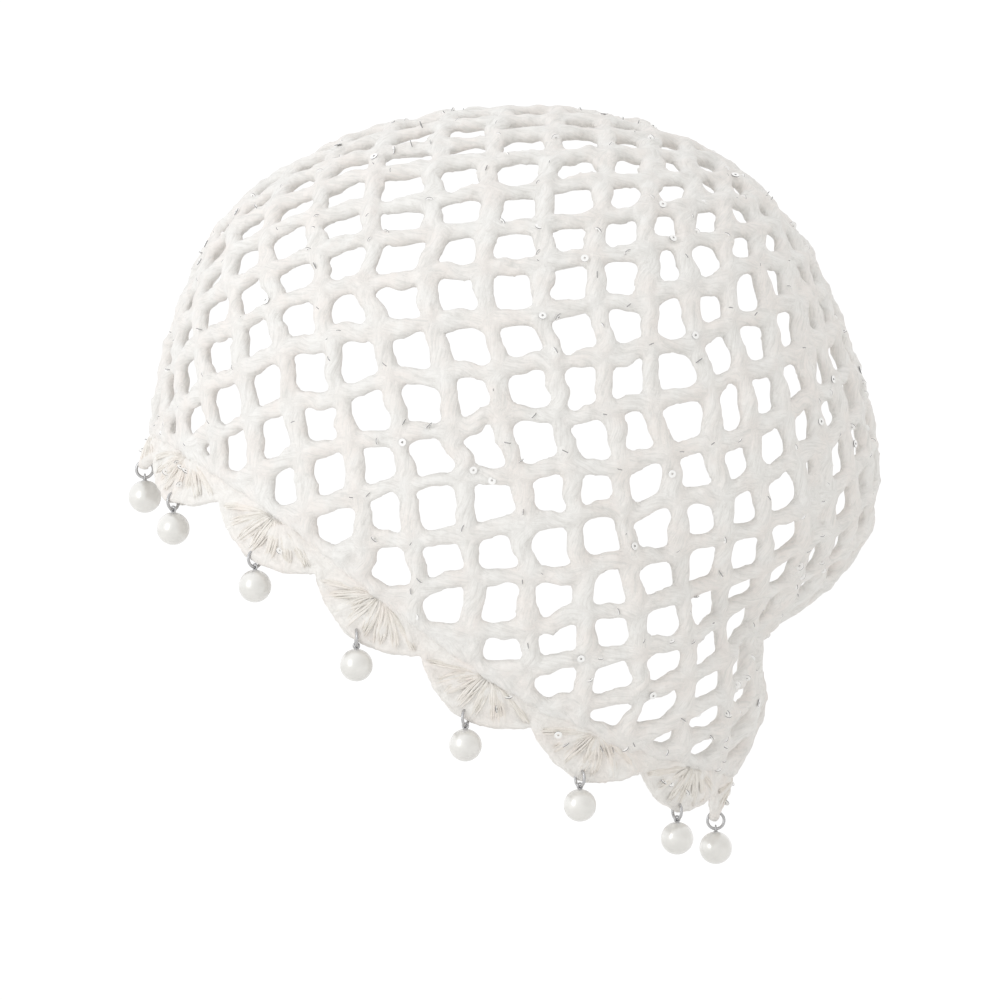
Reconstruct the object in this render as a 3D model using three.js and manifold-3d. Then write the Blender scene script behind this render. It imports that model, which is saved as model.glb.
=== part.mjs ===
import * as THREE from "three";
import { mergeVertices } from "three/addons/utils/BufferGeometryUtils.js";
import Module from "manifold-3d";

// A crochet cap as it is worn: a net crown, a scalloped edging of fourteen shells below it,
// and under each shell's tip a jump ring that carries a pearl.
// Millimetres, +Z up, the wearer's face towards -X. The cap is its own mirror image in Y.
// The origin is the inside of the crown, straight above the level of the ears.

// Driving sizes of the crown. A gap is at most NET_GAP across, and NET_GAP_CORNER times that
// from corner to corner. NET_TURN is how far the net's rows rise towards the back. The rim dips
// below the ear by RIM_DIP. Its shells drift back by RIM_DRIFT, and spread from its ends.
const OUTLINE_REACH = 90;
const HALF_WIDTH = 76;
const WALL = 3.4;
const NET_PITCH = 28;
const NET_TURN = 8;
const NET_STRAND = 5.6;
const NET_GAP = 19;
const NET_GAP_CORNER = 1.18;
const LEAST_GAP = 6.6;
const RIM_FRONT_TURN = -1.8;
const RIM_BACK_TURN = 237.5;
const RIM_DIP = 8.8;
const RIM_DIP_SKEW = 0.91;
const RIM_DRIFT = 2.8;
const RIM_SPREAD = 10.4;

// Driving sizes of the edging, whose scallops hang by the two drops below the rim. The shell at
// the front's mid-line is shallower by FRONT_SHELL_RISE.
const SHELLS = 14;
const EDGING_WALL = 1.3;
const EDGING_TIP_DROP = 13;
const EDGING_VALLEY_DROP = 5.5;
const FRONT_SHELL_RISE = 3;
const EDGING_FLARE = 3.5;
const SCALLOP_ROUNDNESS = 0.8;
const SEAM_GAP = 0.35;
const YARN_BELOW_HOLE = 1.1;

// Driving sizes of the rings and pearls
const WIRE = 0.8;
const RING_OUTSIDE = 5.4;
const RING_SWING = 18;
const RING_CLEARANCE = 0.3;
const EYE_WIRE = 0.5;
const EYE_CLEARANCE = 0.4;
const EYE_SUNK = 0.3;
const PEARL = 8.5;

// How finely the round shapes are faceted
const OUTLINE_STEP = 9;
const RIM_STEPS_PER_SHELL = 2;
const GAP_SIDES = 8;
const EDGING_STEPS_PER_SHELL = 8;
const ROUND_SIDES = 10;
const WIRE_SIDES = 5;
const BEAD_RINGS = 6;
const HOLE_SIDES = 6;

// A crossing this near a corner of the panel's edge, as a share of the pitch, lies on that
// corner, and so does one within a strand's width of the edge
const EDGE_SNAP = 0.36;

// A ring's wire runs along its own middle radius. The hole at a shell's tip lets it bend
// through the edging's wall, which it meets at a slant.
const RING_REACH = (RING_OUTSIDE - WIRE) / 2;
const WALL_SLANT = 1.75;
const RING_INSIDE = RING_REACH - WIRE / 2 - RING_CLEARANCE;
const TIP_HOLE_REACH = RING_REACH - Math.sqrt(RING_INSIDE ** 2 - (WALL_SLANT * EDGING_WALL / 2) ** 2);
const DRILL_RADIUS = TIP_HOLE_REACH / Math.cos(Math.PI / HOLE_SIDES);
const EYE_REACH = (WIRE + EYE_WIRE) / 2 + EYE_CLEARANCE;

// The crown's outline as seen from the side. It is measured from the centre of the side:
// turn 0 is straight forward, 90 up, 180 back. reach is a share of OUTLINE_REACH.
// Past the rim, from 237 on to 358, the rows say how the side rounds off below the ear.
const OUTLINE = [
  { turn: 2, reach: 1.003 },
  { turn: 20, reach: 0.991 },
  { turn: 38, reach: 0.982 },
  { turn: 56, reach: 0.933 },
  { turn: 74, reach: 0.896 },
  { turn: 92, reach: 0.892 },
  { turn: 110, reach: 0.917 },
  { turn: 128, reach: 0.959 },
  { turn: 146, reach: 0.986 },
  { turn: 164, reach: 0.992 },
  { turn: 176, reach: 1.027 },
  { turn: 188, reach: 1.064 },
  { turn: 197, reach: 1.078 },
  { turn: 206, reach: 1.033 },
  { turn: 218, reach: 0.96 },
  { turn: 223, reach: 0.972 },
  { turn: 228, reach: 1.09 },
  { turn: 236, reach: 1.187 },
  { turn: 252, reach: 1.3 },
  { turn: 275, reach: 1.32 },
  { turn: 300, reach: 1.29 },
  { turn: 325, reach: 1.2 },
  { turn: 345, reach: 1.067 },
];

const wasm = await Module();
wasm.setup();

const radians = THREE.MathUtils.degToRad;
const UP = new THREE.Vector3(0, 0, 1);

// The outline's reach in millimetres at a turn, by a smooth curve through the rows
function outlineReach(turn) {
  const first = OUTLINE[0].turn;
  const wrapped = first + THREE.MathUtils.euclideanModulo(turn - first, 360);
  const count = OUTLINE.length;
  const row = (index) => {
    const lap = Math.floor(index / count);
    const { turn: at, reach } = OUTLINE[index - lap * count];
    return { at: at + lap * 360, reach };
  };
  let index = 0;
  while (row(index + 1).at <= wrapped) {
    index += 1;
  }
  const [before, from, to, after] = [index - 1, index, index + 1, index + 2].map(row);
  const span = to.at - from.at;
  const share = (wrapped - from.at) / span;
  const slopeFrom = (to.reach - before.reach) / (to.at - before.at);
  const slopeTo = (after.reach - from.reach) / (after.at - from.at);
  const rest = 1 - share;
  const ends = from.reach * (1 + 2 * share) * rest * rest + to.reach * (3 - 2 * share) * share * share;
  const slopes = span * share * rest * (slopeFrom * rest - slopeTo * share);
  return OUTLINE_REACH * (ends + slopes);
}

const SIDE_CENTRE_Z = -(outlineReach(90) - WALL / 2);

// A point of the near side: turn says which way it lies from the side's centre, and
// bend is 0 at that centre and a quarter turn at the outline
function sidePoint(turn, bend) {
  const reach = outlineReach(turn) * Math.sin(bend);
  const onOutline = bend >= Math.PI / 2;
  return new THREE.Vector3(
    -reach * Math.cos(radians(turn)),
    onOutline ? 0 : -HALF_WIDTH * Math.cos(bend),
    SIDE_CENTRE_Z + reach * Math.sin(radians(turn)),
  );
}

// The crown's outward direction at the same place
function sideNormal(turn, bend) {
  const outward = new THREE.Vector3(-Math.cos(radians(turn)), 0, Math.sin(radians(turn)));
  const onward = new THREE.Vector3(Math.sin(radians(turn)), 0, Math.cos(radians(turn)));
  const reach = outlineReach(turn);
  const slope = (outlineReach(turn + 0.5) - outlineReach(turn - 0.5)) / radians(1);
  const alongBend = outward.clone().multiplyScalar(reach * Math.cos(bend));
  alongBend.y = HALF_WIDTH * Math.sin(bend);
  const alongTurn = onward.multiplyScalar(reach).addScaledVector(outward, slope);
  const normal = alongTurn.cross(alongBend).normalize();
  if (bend >= Math.PI / 2) {
    normal.y = 0;
  }
  return normal.normalize();
}

// The same place of the side unrolled flat, where the net is drawn square
function unrolled(turn, bend) {
  const away = outlineReach(turn) * bend;
  const angle = Math.PI - radians(turn + NET_TURN);
  return new THREE.Vector2(away * Math.cos(angle), away * Math.sin(angle));
}

function rolledUp(flat) {
  const turn = 180 - NET_TURN - THREE.MathUtils.radToDeg(flat.angle());
  return { turn, bend: flat.length() / outlineReach(turn) };
}

// The rim, around from the front's mid-line (0) past the near ear (90) to the nape's (180)
function rimPlace(around) {
  const front = sidePoint(RIM_FRONT_TURN, Math.PI / 2);
  const back = sidePoint(RIM_BACK_TURN, Math.PI / 2);
  if (around <= 0) {
    return { turn: RIM_FRONT_TURN, bend: Math.PI / 2 };
  }
  if (around >= 180) {
    return { turn: RIM_BACK_TURN, bend: Math.PI / 2 };
  }
  const cosine = Math.cos(radians(around));
  const point = front.clone().lerp(back, (1 - cosine) / 2);
  const chord = back.clone().sub(front).normalize();
  const below = new THREE.Vector3(chord.z, 0, -chord.x);
  const fullness = 1 - cosine * cosine;
  point.addScaledVector(below, RIM_DIP * fullness * (1 - RIM_DIP_SKEW * cosine));
  point.addScaledVector(chord, fullness * (RIM_DRIFT + RIM_SPREAD * cosine));
  const height = point.z - SIDE_CENTRE_Z;
  const turn = THREE.MathUtils.radToDeg(Math.atan2(height, -point.x));
  const share = Math.hypot(point.x, height) / outlineReach(turn);
  return { turn, bend: Math.asin(Math.min(1, share)) };
}

// Meshes from loose triangles
class Skin {
  constructor() {
    this.positions = [];
  }

  triangle(a, b, c) {
    for (const corner of [a, b, c]) {
      this.positions.push(corner.x, corner.y, corner.z);
    }
  }

  quad(a, b, c, d) {
    this.triangle(a, b, c);
    this.triangle(a, c, d);
  }

  // The same triangle on the near side and mirrored on the far side
  pair(a, b, c) {
    this.triangle(a, b, c);
    const [x, y, z] = [a, b, c].map((corner) => new THREE.Vector3(corner.x, -corner.y, corner.z));
    this.triangle(x, z, y);
  }

  geometry() {
    const loose = new THREE.BufferGeometry();
    loose.setAttribute("position", new THREE.Float32BufferAttribute(this.positions, 3));
    return mergeVertices(loose, 1e-4);
  }
}

function solidFrom(geometry) {
  const bare = geometry.clone();
  bare.deleteAttribute("normal");
  bare.deleteAttribute("uv");
  const merged = mergeVertices(bare, 1e-4);
  return new wasm.Manifold(new wasm.Mesh({
    numProp: 3,
    vertProperties: new Float32Array(merged.attributes.position.array),
    triVerts: new Uint32Array(merged.index.array),
  }));
}

function geometryFrom(solid) {
  const { vertProperties, triVerts } = solid.getMesh();
  const geometry = new THREE.BufferGeometry();
  geometry.setAttribute("position", new THREE.BufferAttribute(vertProperties, 3));
  geometry.setIndex(new THREE.BufferAttribute(triVerts, 1));
  return geometry;
}

// The edge of one side's panel, unrolled: up over the crown's mid-line, then back along the rim
function panelEdge() {
  const edge = [];
  const outlineSteps = Math.round((RIM_BACK_TURN - RIM_FRONT_TURN) / OUTLINE_STEP);
  for (let step = 0; step < outlineSteps; step += 1) {
    const turn = THREE.MathUtils.lerp(RIM_BACK_TURN, RIM_FRONT_TURN, step / outlineSteps);
    edge.push({ flat: unrolled(turn, Math.PI / 2), place: { turn, bend: Math.PI / 2 }, onRim: false });
  }
  const rimSteps = (SHELLS / 2) * RIM_STEPS_PER_SHELL;
  for (let step = 0; step < rimSteps; step += 1) {
    const place = rimPlace((180 * step) / rimSteps);
    edge.push({ flat: unrolled(place.turn, place.bend), place, onRim: true });
  }
  return edge;
}

// Where a straight row or column of the net crosses the panel's edge
function crossings(edge, axis, level) {
  const other = axis === "x" ? "y" : "x";
  const found = [];
  edge.forEach((from, index) => {
    const to = edge[(index + 1) % edge.length];
    const [a, b] = [from.flat[axis] - level, to.flat[axis] - level];
    if (a > 0 !== b > 0) {
      found.push(THREE.MathUtils.lerp(from.flat[other], to.flat[other], a / (a - b)));
    }
  });
  return found.sort((a, b) => a - b);
}

function distanceToEdge(edge, flat) {
  return Math.min(...edge.map((from, index) => {
    const side = edge[(index + 1) % edge.length].flat.clone().sub(from.flat);
    const along = flat.clone().sub(from.flat).dot(side) / side.lengthSq();
    return from.flat.clone().addScaledVector(side, THREE.MathUtils.clamp(along, 0, 1)).distanceTo(flat);
  }));
}

// The net as nodes joined by strands: square rows and columns, ending at the panel's edge
function netGraph(edge) {
  const nodes = edge.map(({ flat, place, onRim }) => ({ flat, place, onRim, onEdge: true }));
  const links = new Map();
  const nearestOnEdge = (flat) => {
    let best = 0;
    edge.forEach((node, index) => {
      if (node.flat.distanceTo(flat) < edge[best].flat.distanceTo(flat)) {
        best = index;
      }
    });
    return best;
  };
  const link = (a, b) => {
    if (a !== b) {
      links.set(a < b ? `${a} ${b}` : `${b} ${a}`, [a, b]);
    }
  };
  edge.forEach((_, index) => link(index, (index + 1) % edge.length));
  // A strand from edge to edge gets a node in its middle. It is left out where it is short or
  // where it would lie on the edge's own strand.
  const strand = (a, b) => {
    if (!nodes[a].onEdge || !nodes[b].onEdge) {
      link(a, b);
      return;
    }
    const flat = nodes[a].flat.clone().lerp(nodes[b].flat, 0.5);
    if (nodes[a].flat.distanceTo(nodes[b].flat) > NET_PITCH && distanceToEdge(edge, flat) > NET_STRAND) {
      nodes.push({ flat, place: rolledUp(flat), onRim: false, onEdge: false });
      link(a, nodes.length - 1);
      link(nodes.length - 1, b);
    }
  };
  const inner = new Map();
  const crossingNode = (column, row) => {
    const key = `${column} ${row}`;
    if (!inner.has(key)) {
      const flat = new THREE.Vector2(column * NET_PITCH, row * NET_PITCH);
      const near = nearestOnEdge(flat);
      const byCorner = edge[near].flat.distanceTo(flat) < NET_PITCH * EDGE_SNAP;
      if (byCorner || distanceToEdge(edge, flat) < NET_STRAND) {
        inner.set(key, near);
      } else {
        inner.set(key, nodes.length);
        nodes.push({ flat, place: rolledUp(flat), onRim: false, onEdge: false });
      }
    }
    return inner.get(key);
  };
  const reach = Math.ceil((Math.PI * OUTLINE_REACH) / NET_PITCH);
  for (const axis of ["x", "y"]) {
    for (let line = -reach; line <= reach; line += 1) {
      const hits = crossings(edge, axis, line * NET_PITCH);
      for (let pair = 0; pair + 1 < hits.length; pair += 2) {
        const at = (distance) => (axis === "x"
          ? new THREE.Vector2(line * NET_PITCH, distance)
          : new THREE.Vector2(distance, line * NET_PITCH));
        const run = [nearestOnEdge(at(hits[pair]))];
        const first = Math.ceil(hits[pair] / NET_PITCH);
        const last = Math.floor(hits[pair + 1] / NET_PITCH);
        for (let cross = first; cross <= last; cross += 1) {
          run.push(axis === "x" ? crossingNode(line, cross) : crossingNode(cross, line));
        }
        run.push(nearestOnEdge(at(hits[pair + 1])));
        run.slice(1).forEach((node, index) => strand(run[index], node));
      }
    }
  }
  return { nodes, links: [...links.values()] };
}

function turningArea(corners) {
  return corners.reduce((area, corner, index) => {
    const next = corners[(index + 1) % corners.length];
    return area + corner.cross(next) / 2;
  }, 0);
}

// The cells that the strands enclose, each a ring of node numbers
function netCells({ nodes, links }) {
  const around = nodes.map(() => []);
  for (const [a, b] of links) {
    around[a].push(b);
    around[b].push(a);
  }
  around.forEach((ends, node) => {
    const bearing = (end) => nodes[end].flat.clone().sub(nodes[node].flat).angle();
    ends.sort((a, b) => bearing(a) - bearing(b));
  });
  const walked = new Set();
  const cells = [];
  for (const [a, b] of links.flatMap(([from, to]) => [[from, to], [to, from]])) {
    const ring = [];
    let [from, to] = [a, b];
    while (!walked.has(`${from} ${to}`)) {
      walked.add(`${from} ${to}`);
      ring.push(from);
      const ends = around[to];
      const next = ends[(ends.indexOf(from) + ends.length - 1) % ends.length];
      [from, to] = [to, next];
    }
    if (ring.length > 2 && turningArea(ring.map((node) => nodes[node].flat)) > 0) {
      cells.push(ring);
    }
  }
  return cells;
}

function centreOf(corners) {
  let area = 0;
  const centre = new THREE.Vector2();
  corners.forEach((corner, index) => {
    const next = corners[(index + 1) % corners.length];
    const weight = corner.cross(next);
    area += weight;
    centre.addScaledVector(corner.clone().add(next), weight / 3);
  });
  return centre.divideScalar(area);
}

// How far a cell reaches from its centre in one direction
function cellReach(corners, centre, ray) {
  let reach = Infinity;
  corners.forEach((corner, index) => {
    const next = corners[(index + 1) % corners.length];
    const side = next.clone().sub(corner);
    const start = corner.clone().sub(centre);
    const facing = ray.cross(side);
    if (facing > 0) {
      const along = start.cross(side) / facing;
      const share = start.cross(ray) / facing;
      if (along > 0 && share > -1e-6 && share < 1 + 1e-6) {
        reach = Math.min(reach, along);
      }
    }
  });
  return reach;
}

// The rounded gap inside a cell, or an empty list where the strands leave none
function gapRing(corners, centre) {
  const ring = [];
  let least = Infinity;
  for (let step = 0; step < GAP_SIDES; step += 1) {
    const ray = new THREE.Vector2(1, 0).rotateAround(new THREE.Vector2(), (2 * Math.PI * step) / GAP_SIDES);
    const widest = (NET_GAP / 2) * (step % 2 ? NET_GAP_CORNER : 1);
    const free = Math.min(cellReach(corners, centre, ray) - NET_STRAND / 2, widest);
    least = Math.min(least, free);
    ring.push(centre.clone().addScaledVector(ray, free));
  }
  return least * 2 > LEAST_GAP ? ring : [];
}

// Triangles between a cell's corners and its gap, walking round both by their bearing
function facesBetween(outer, inner, centre) {
  const stops = [
    ...outer.map((item) => ({ item, isOuter: true })),
    ...inner.map((item) => ({ item, isOuter: false })),
  ];
  const bearing = ({ item }) => item.flat.clone().sub(centre).angle();
  stops.sort((a, b) => bearing(a) - bearing(b));
  let heldOuter = stops.findLast(({ isOuter }) => isOuter).item;
  let heldInner = stops.findLast(({ isOuter }) => !isOuter).item;
  return stops.map(({ item, isOuter }) => {
    const face = [heldOuter, item, heldInner];
    if (isOuter) {
      heldOuter = item;
    } else {
      heldInner = item;
    }
    return face;
  });
}

function netCrown() {
  const edge = panelEdge();
  const graph = netGraph(edge);
  const { nodes } = graph;
  const skin = new Skin();
  const sheet = (place, offset) => sidePoint(place.turn, place.bend)
    .addScaledVector(sideNormal(place.turn, place.bend), offset);
  const outside = (item) => sheet(item.place, WALL / 2);
  const inside = (item) => sheet(item.place, -WALL / 2);
  for (const ring of netCells(graph)) {
    const items = ring.map((node) => nodes[node]);
    const corners = items.map(({ flat }) => flat);
    const centre = centreOf(corners);
    const gap = gapRing(corners, centre).map((flat) => ({ flat, place: rolledUp(flat) }));
    const middle = { flat: centre, place: rolledUp(centre) };
    const faces = gap.length
      ? facesBetween(items, gap, centre)
      : items.map((item, index) => [item, items[(index + 1) % items.length], middle]);
    for (const [a, b, c] of faces) {
      skin.pair(outside(a), outside(b), outside(c));
      skin.pair(inside(a), inside(c), inside(b));
    }
    gap.forEach((item, index) => {
      const next = gap[(index + 1) % gap.length];
      skin.pair(outside(item), outside(next), inside(next));
      skin.pair(outside(item), inside(next), inside(item));
    });
  }
  const rim = edge.filter(({ onRim }) => onRim);
  rim.push(edge[0]);
  rim.slice(1).forEach((next, index) => {
    const item = rim[index];
    skin.pair(outside(item), inside(item), inside(next));
    skin.pair(outside(item), inside(next), outside(next));
  });
  return skin.geometry();
}

// A place on the edging: around the rim, and down from it by a share of the drop there
function edgingFrame(around) {
  const mirrored = around > 180;
  const near = mirrored ? 360 - around : around;
  const place = rimPlace(near);
  const step = 0.5;
  const point = (at) => {
    const { turn, bend } = rimPlace(at > 180 ? 360 - at : Math.abs(at));
    const found = sidePoint(turn, bend);
    return at < 0 || at > 180 ? found.setY(-found.y) : found;
  };
  const along = point(near + step).sub(point(near - step)).normalize();
  const outward = sideNormal(place.turn, place.bend);
  const down = along.clone().cross(outward).normalize();
  const frame = { point: point(near), outward, down };
  if (mirrored) {
    for (const vector of Object.values(frame)) {
      vector.y *= -1;
    }
  }
  return frame;
}

// How far the scalloped edge hangs below the rim: deepest at each shell's tip. The first
// shell's tip is at the front's mid-line.
function edgingDrop(around) {
  const lobe = Math.abs(Math.cos(radians((around * SHELLS) / 2)));
  const shell = Math.round((around * SHELLS) / 360) % SHELLS;
  const tipDrop = shell === 0 ? EDGING_TIP_DROP - FRONT_SHELL_RISE : EDGING_TIP_DROP;
  return THREE.MathUtils.lerp(EDGING_VALLEY_DROP, tipDrop, lobe ** SCALLOP_ROUNDNESS);
}

function edgingPoint(around, drop, offset) {
  const { point, outward, down } = edgingFrame(around);
  const flare = (EDGING_FLARE * drop) / EDGING_TIP_DROP;
  return point.addScaledVector(down, drop).addScaledVector(outward, flare + offset);
}

function tipHolePlace(shell) {
  const around = (shell * 360) / SHELLS;
  const drop = edgingDrop(around) - YARN_BELOW_HOLE - TIP_HOLE_REACH;
  return { point: edgingPoint(around, drop, 0), outward: edgingFrame(around).outward };
}

// The edging is one band from just below the rim to its scalloped edge, holed at each tip
function shellEdging() {
  const columns = SHELLS * EDGING_STEPS_PER_SHELL;
  const skin = new Skin();
  const corners = (column) => {
    const around = ((column % columns) * 360) / columns;
    const corner = (drop, side) => edgingPoint(around, drop, (side * EDGING_WALL) / 2);
    const drop = edgingDrop(around);
    return {
      outerTop: corner(SEAM_GAP, 1),
      innerTop: corner(SEAM_GAP, -1),
      outerEnd: corner(drop, 1),
      innerEnd: corner(drop, -1),
    };
  };
  for (let column = 0; column < columns; column += 1) {
    const [a, b] = [corners(column), corners(column + 1)];
    skin.quad(a.outerTop, a.outerEnd, b.outerEnd, b.outerTop);
    skin.quad(a.innerTop, b.innerTop, b.innerEnd, a.innerEnd);
    skin.quad(a.outerTop, b.outerTop, b.innerTop, a.innerTop);
    skin.quad(a.outerEnd, a.innerEnd, b.innerEnd, b.outerEnd);
  }
  let solid = solidFrom(skin.geometry());
  for (let shell = 0; shell < SHELLS; shell += 1) {
    const { point, outward } = tipHolePlace(shell);
    const length = EDGING_FLARE + EDGING_WALL * 2;
    const drill = new THREE.CylinderGeometry(DRILL_RADIUS, DRILL_RADIUS, length, HOLE_SIDES);
    drill.applyQuaternion(new THREE.Quaternion().setFromUnitVectors(new THREE.Vector3(0, 1, 0), outward));
    drill.translate(point.x, point.y, point.z);
    solid = solid.subtract(solidFrom(drill));
  }
  return geometryFrom(solid);
}

// The ring hangs plumb from its hole. across is the level direction square to its plane. Rings
// swing to and fro by turns, and each one on the far side mirrors its fellow on the near side.
function hangerFrame(shell) {
  const { point, outward } = tipHolePlace(shell);
  const level = new THREE.Vector3(outward.x, outward.y, 0).normalize();
  const fellow = (SHELLS - shell) % SHELLS;
  const swing = radians(RING_SWING * Math.sign(fellow - shell) * (shell % 2 ? 1 : -1));
  const facing = level.applyAxisAngle(UP, swing);
  const across = UP.clone().cross(facing);
  return { hole: point, facing, across };
}

// A wire ring whose plane holds the plumb line and the direction called wide
function wireRing(reach, wire, wide) {
  const geometry = new THREE.TorusGeometry(reach, wire / 2, WIRE_SIDES, ROUND_SIDES);
  const basis = new THREE.Matrix4().makeBasis(wide, UP, wide.clone().cross(UP));
  return geometry.applyMatrix4(basis);
}

function part(name, geometry, look, position) {
  const mesh = new THREE.Mesh(geometry, new THREE.MeshStandardMaterial(look));
  mesh.name = name;
  if (position) {
    mesh.position.copy(position);
  }
  return mesh;
}

// A pearl with the little wire eye that it hangs by; its own origin is the eye's centre
function pearlWithEye(across) {
  const bead = new THREE.SphereGeometry(PEARL / 2, ROUND_SIDES, BEAD_RINGS);
  bead.translate(0, 0, -(EYE_REACH + PEARL / 2 - EYE_SUNK));
  return geometryFrom(solidFrom(bead).add(solidFrom(wireRing(EYE_REACH, EYE_WIRE, across))));
}

const YARN = { color: 0xeae9e5, roughness: 0.92, metalness: 0 };
const SHELL_YARN = { color: 0xf0ede6, roughness: 0.92, metalness: 0 };
const SILVER = { color: 0xc9cacc, roughness: 0.25, metalness: 1 };
const PEARL_LOOK = { color: 0xe9e8e0, roughness: 0.25, metalness: 0 };

const cap = new THREE.Group();
cap.add(part("net_crown", netCrown(), YARN));
cap.add(part("shell_edging", shellEdging(), SHELL_YARN));
for (let shell = 0; shell < SHELLS; shell += 1) {
  const number = String(shell + 1).padStart(2, "0");
  const { hole, facing, across } = hangerFrame(shell);
  const ringCentre = hole.clone().addScaledVector(UP, -RING_REACH);
  const eyeCentre = ringCentre.clone().addScaledVector(UP, -RING_REACH);
  cap.add(part(`ring_${number}`, wireRing(RING_REACH, WIRE, facing), SILVER, ringCentre));
  cap.add(part(`pearl_${number}`, pearlWithEye(across), PEARL_LOOK, eyeCentre));
}

export default cap;
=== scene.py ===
import math

import bpy
import numpy as np
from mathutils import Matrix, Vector, kdtree


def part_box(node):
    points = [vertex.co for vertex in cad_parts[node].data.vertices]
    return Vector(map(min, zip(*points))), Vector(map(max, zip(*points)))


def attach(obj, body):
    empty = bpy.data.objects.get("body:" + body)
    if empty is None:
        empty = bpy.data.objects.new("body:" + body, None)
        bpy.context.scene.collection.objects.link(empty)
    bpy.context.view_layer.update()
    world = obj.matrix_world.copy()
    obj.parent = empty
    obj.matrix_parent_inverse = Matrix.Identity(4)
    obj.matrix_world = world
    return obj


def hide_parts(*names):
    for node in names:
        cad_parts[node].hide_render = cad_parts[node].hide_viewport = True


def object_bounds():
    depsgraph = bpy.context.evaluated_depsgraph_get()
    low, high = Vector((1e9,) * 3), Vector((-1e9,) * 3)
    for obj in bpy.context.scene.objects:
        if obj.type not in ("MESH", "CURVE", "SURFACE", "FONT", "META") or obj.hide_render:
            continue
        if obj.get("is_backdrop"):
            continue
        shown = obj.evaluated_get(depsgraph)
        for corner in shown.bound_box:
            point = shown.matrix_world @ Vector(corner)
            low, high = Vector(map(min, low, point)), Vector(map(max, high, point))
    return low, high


# A crochet cap as it is worn: a net of soft off-white yarn with clear sequins, a scalloped
# edging of fourteen fan-shaped shells, and a pearl on a jump ring under each shell's tip.
# Lengths are in metres and turns in degrees. The wearer faces -X, and the cap is its own
# mirror image in Y. Its near side, towards -Y, is the wearer's left.

MM = 0.001
UP = np.array([0, 0, 1.0])

# The crown's form, as in the CAD model
OUTLINE_REACH = 90 * MM
HALF_WIDTH = 76 * MM
WALL = 3.4 * MM
NET_TURN = 8
RIM_FRONT_TURN = -1.8
RIM_BACK_TURN = 237.5
RIM_DIP = 8.8 * MM
RIM_DIP_SKEW = 0.91
RIM_DRIFT = 2.8 * MM
RIM_SPREAD = 10.4 * MM

# The edging's form, as in the CAD model
SHELLS = 14
EDGING_TIP_DROP = 13 * MM
EDGING_VALLEY_DROP = 5.5 * MM
FRONT_SHELL_RISE = 3 * MM
EDGING_FLARE = 3.5 * MM
SCALLOP_ROUNDNESS = 0.8
SEAM_ASIDE = 1.1 * MM
RIM_STRAND_DROP = -0.5 * MM
RIM_STRAND_WIDTH = 3.9 * MM
SEAM_STRAND_WIDTH = 3.4 * MM
LIP_INSET = 1.0 * MM
RIM_RADIUS = 90 * MM

# The net as it is worked. A post is an upright strand, and a chain is a level one. A knot's
# sizes are a middle and a spread in millimetres. STRAND_SHIFT keeps the fibres of one strand
# from lining up with the next one's.
NET_PITCH = 14.04 * MM
NODE_WANDER = 0.7 * MM
STRAND_BOW = 0.5 * MM
POST_WIDTH = 6.0 * MM
CHAIN_WIDTH = 5.3 * MM
STRAND_DEPTH = 3.8 * MM
WIDTH_WANDER = 0.13
EDGE_SNAP = 0.33
STEPS_PER_CELL = 12
NET_REACH = 11
PLY_SIDES = 8
POST_LAY = 1.7 * NET_PITCH
CHAIN_STITCH = 0.7 * NET_PITCH
NET_FIBRE_LAY = 2.2 * NET_PITCH
EDGING_FIBRE_LAY = 40 * MM
RIM_STITCH = 6 * MM
RIM_STRAND_DEPTH = 4.2 * MM
LIP_WIDTH = 2.5 * MM
LIP_STITCH = 5.2 * MM
LIP_DEPTH = 3.0 * MM
KNOT_HALF_LENGTH = (3.7, 0.3)
KNOT_WIDTH = (6.2, 0.5)
SEED = 7
FIBRE = "fibre"
STRAND_SHIFT = 0.137
NET_VOXEL = 1.0 * MM
EDGING_VOXEL = 0.55 * MM
MELD_EASING = 2

# A strand's core and plies: half sizes beside and out, and how far a ply swings beside and
# out, as shares of the strand's half width and of its depth
CHAIN_CORE = (0.82, 0.4)
CHAIN_SWING = (0.5, 0.2)
POST_CORE = (0.86, 0.42)
POST_SWING = (0.5, 0.24)
STRAND_PLIES = 3
STRAND_PLY = (0.5, 0.3)

# The soft ridges along a strand's skin. The swing is in shares of its width and depth, the
# lay in cells and the half width in millimetres, each from the least to the most.
THREADS = 3
THREAD_SWING = (0.36, 0.52)
THREAD_LAY = (1.8, 4.5)
THREAD_HALF_WIDTH = (0.55, 0.8)
THREAD_HALF_DEPTH = 0.5 * MM
THREAD_SIDES = 6

# A shell's stitches and the fine plies over them
SHELL_EYE_DEPTH = 0.8 * MM
STITCH_HALF_DEPTH = 0.8 * MM
STITCH_END_SHORT = 1.2 * MM
FAN_PLIES_OUTSIDE = 7
FAN_PLIES_INSIDE = 3

# Beads, wire and sequins
PEARL = 8.5 * MM
PEARL_SIDES = 48
COLLAR_SIDES = 20
RING_WIRE = 0.8 * MM
RING_SWEEP = 354
RING_START = 98
EYE_WIRE = 0.5 * MM
WIRE_SIDES = 10
WIRE_STEPS = 40
SEQUIN_RADIUS = 1.05 * MM
SEQUIN_HOLE = 0.3 * MM
SEQUIN_THICKNESS = 0.26 * MM
SEQUIN_SIDES = 12
SEQUIN_EVERY = 4
SEQUIN_FLAT_SHARE = 0.11
NET_SEQUIN_CHANCE = 0.2
EDGING_SEQUIN_CHANCE = 0.17

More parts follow.
